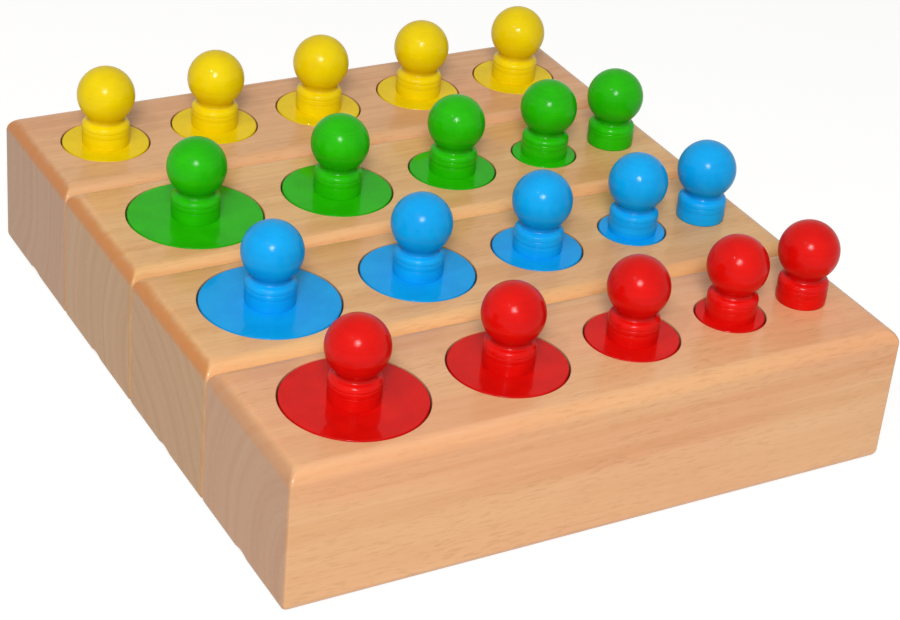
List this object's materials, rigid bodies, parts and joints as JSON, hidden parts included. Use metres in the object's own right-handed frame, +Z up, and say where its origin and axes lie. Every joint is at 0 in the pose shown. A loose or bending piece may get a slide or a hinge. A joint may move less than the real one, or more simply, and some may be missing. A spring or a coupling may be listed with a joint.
{
  "type": "knobbed cylinder blocks",
  "caption": "Varnished wooden blocks side by side, with blind sockets that hold painted cylinders graded in width and height, each lifted out by a turned ball knob.",
  "frame": {"origin": "on the ground under the middle of the set", "axes": "+Z up; +X along the blocks, from the widest cylinders to the narrowest; +Y across the set, from the red block in front to the yellow block at the back"},
  "size_m": [0.216, 0.2352, 0.0769],
  "materials": {
    "beech": "sanded beech under clear semi-gloss varnish",
    "red_enamel": "gloss red enamel on turned wood",
    "blue_enamel": "gloss blue enamel on turned wood",
    "green_enamel": "gloss green enamel on turned wood",
    "yellow_enamel": "gloss yellow enamel on turned wood"
  },
  "bodies": {
    "red_block": {"red_block": "beech"},
    "red_cylinder_1": {"red_plug_1": "red_enamel", "red_knob_1": "red_enamel"},
    "red_cylinder_2": {"red_plug_2": "red_enamel", "red_knob_2": "red_enamel"},
    "red_cylinder_3": {"red_plug_3": "red_enamel", "red_knob_3": "red_enamel"},
    "red_cylinder_4": {"red_plug_4": "red_enamel", "red_knob_4": "red_enamel"},
    "red_cylinder_5": {"red_plug_5": "red_enamel", "red_knob_5": "red_enamel"},
    "blue_block": {"blue_block": "beech"},
    "blue_cylinder_1": {"blue_plug_1": "blue_enamel", "blue_knob_1": "blue_enamel"},
    "blue_cylinder_2": {"blue_plug_2": "blue_enamel", "blue_knob_2": "blue_enamel"},
    "blue_cylinder_3": {"blue_plug_3": "blue_enamel", "blue_knob_3": "blue_enamel"},
    "blue_cylinder_4": {"blue_plug_4": "blue_enamel", "blue_knob_4": "blue_enamel"},
    "blue_cylinder_5": {"blue_plug_5": "blue_enamel", "blue_knob_5": "blue_enamel"},
    "green_block": {"green_block": "beech"},
    "green_cylinder_1": {"green_plug_1": "green_enamel", "green_knob_1": "green_enamel"},
    "green_cylinder_2": {"green_plug_2": "green_enamel", "green_knob_2": "green_enamel"},
    "green_cylinder_3": {"green_plug_3": "green_enamel", "green_knob_3": "green_enamel"},
    "green_cylinder_4": {"green_plug_4": "green_enamel", "green_knob_4": "green_enamel"},
    "green_cylinder_5": {"green_plug_5": "green_enamel", "green_knob_5": "green_enamel"},
    "yellow_block": {"yellow_block": "beech"},
    "yellow_cylinder_1": {"yellow_plug_1": "yellow_enamel", "yellow_knob_1": "yellow_enamel"},
    "yellow_cylinder_2": {"yellow_plug_2": "yellow_enamel", "yellow_knob_2": "yellow_enamel"},
    "yellow_cylinder_3": {"yellow_plug_3": "yellow_enamel", "yellow_knob_3": "yellow_enamel"},
    "yellow_cylinder_4": {"yellow_plug_4": "yellow_enamel", "yellow_knob_4": "yellow_enamel"},
    "yellow_cylinder_5": {"yellow_plug_5": "yellow_enamel", "yellow_knob_5": "yellow_enamel"}
  },
  "joints": [
    {"name": "red_lift_1", "type": "slide", "parent": "red_block", "child": "red_cylinder_1", "axis": [0, 0, 1], "range_m": [0, 0.073]},
    {"name": "red_lift_2", "type": "slide", "parent": "red_block", "child": "red_cylinder_2", "axis": [0, 0, 1], "range_m": [0, 0.073]},
    {"name": "red_lift_3", "type": "slide", "parent": "red_block", "child": "red_cylinder_3", "axis": [0, 0, 1], "range_m": [0, 0.073]},
    {"name": "red_lift_4", "type": "slide", "parent": "red_block", "child": "red_cylinder_4", "axis": [0, 0, 1], "range_m": [0, 0.073]},
    {"name": "red_lift_5", "type": "slide", "parent": "red_block", "child": "red_cylinder_5", "axis": [0, 0, 1], "range_m": [0, 0.073]},
    {"name": "blue_pull", "type": "slide", "parent": "red_block", "child": "blue_block", "axis": [0, 1, 0], "range_m": [0, 0.06]},
    {"name": "blue_lift_1", "type": "slide", "parent": "blue_block", "child": "blue_cylinder_1", "axis": [0, 0, 1], "range_m": [0, 0.073]},
    {"name": "blue_lift_2", "type": "slide", "parent": "blue_block", "child": "blue_cylinder_2", "axis": [0, 0, 1], "range_m": [0, 0.0655]},
    {"name": "blue_lift_3", "type": "slide", "parent": "blue_block", "child": "blue_cylinder_3", "axis": [0, 0, 1], "range_m": [0, 0.058]},
    {"name": "blue_lift_4", "type": "slide", "parent": "blue_block", "child": "blue_cylinder_4", "axis": [0, 0, 1], "range_m": [0, 0.0505]},
    {"name": "blue_lift_5", "type": "slide", "parent": "blue_block", "child": "blue_cylinder_5", "axis": [0, 0, 1], "range_m": [0, 0.043]},
    {"name": "green_pull", "type": "slide", "parent": "blue_block", "child": "green_block", "axis": [0, 1, 0], "range_m": [0, 0.06]},
    {"name": "green_lift_1", "type": "slide", "parent": "green_block", "child": "green_cylinder_1", "axis": [0, 0, 1], "range_m": [0, 0.043]},
    {"name": "green_lift_2", "type": "slide", "parent": "green_block", "child": "green_cylinder_2", "axis": [0, 0, 1], "range_m": [0, 0.0505]},
    {"name": "green_lift_3", "type": "slide", "parent": "green_block", "child": "green_cylinder_3", "axis": [0, 0, 1], "range_m": [0, 0.058]},
    {"name": "green_lift_4", "type": "slide", "parent": "green_block", "child": "green_cylinder_4", "axis": [0, 0, 1], "range_m": [0, 0.0655]},
    {"name": "green_lift_5", "type": "slide", "parent": "green_block", "child": "green_cylinder_5", "axis": [0, 0, 1], "range_m": [0, 0.073]},
    {"name": "yellow_pull", "type": "slide", "parent": "green_block", "child": "yellow_block", "axis": [0, 1, 0], "range_m": [0, 0.06]},
    {"name": "yellow_lift_1", "type": "slide", "parent": "yellow_block", "child": "yellow_cylinder_1", "axis": [0, 0, 1], "range_m": [0, 0.073]},
    {"name": "yellow_lift_2", "type": "slide", "parent": "yellow_block", "child": "yellow_cylinder_2", "axis": [0, 0, 1], "range_m": [0, 0.0655]},
    {"name": "yellow_lift_3", "type": "slide", "parent": "yellow_block", "child": "yellow_cylinder_3", "axis": [0, 0, 1], "range_m": [0, 0.058]},
    {"name": "yellow_lift_4", "type": "slide", "parent": "yellow_block", "child": "yellow_cylinder_4", "axis": [0, 0, 1], "range_m": [0, 0.0505]},
    {"name": "yellow_lift_5", "type": "slide", "parent": "yellow_block", "child": "yellow_cylinder_5", "axis": [0, 0, 1], "range_m": [0, 0.043]}
  ]
}
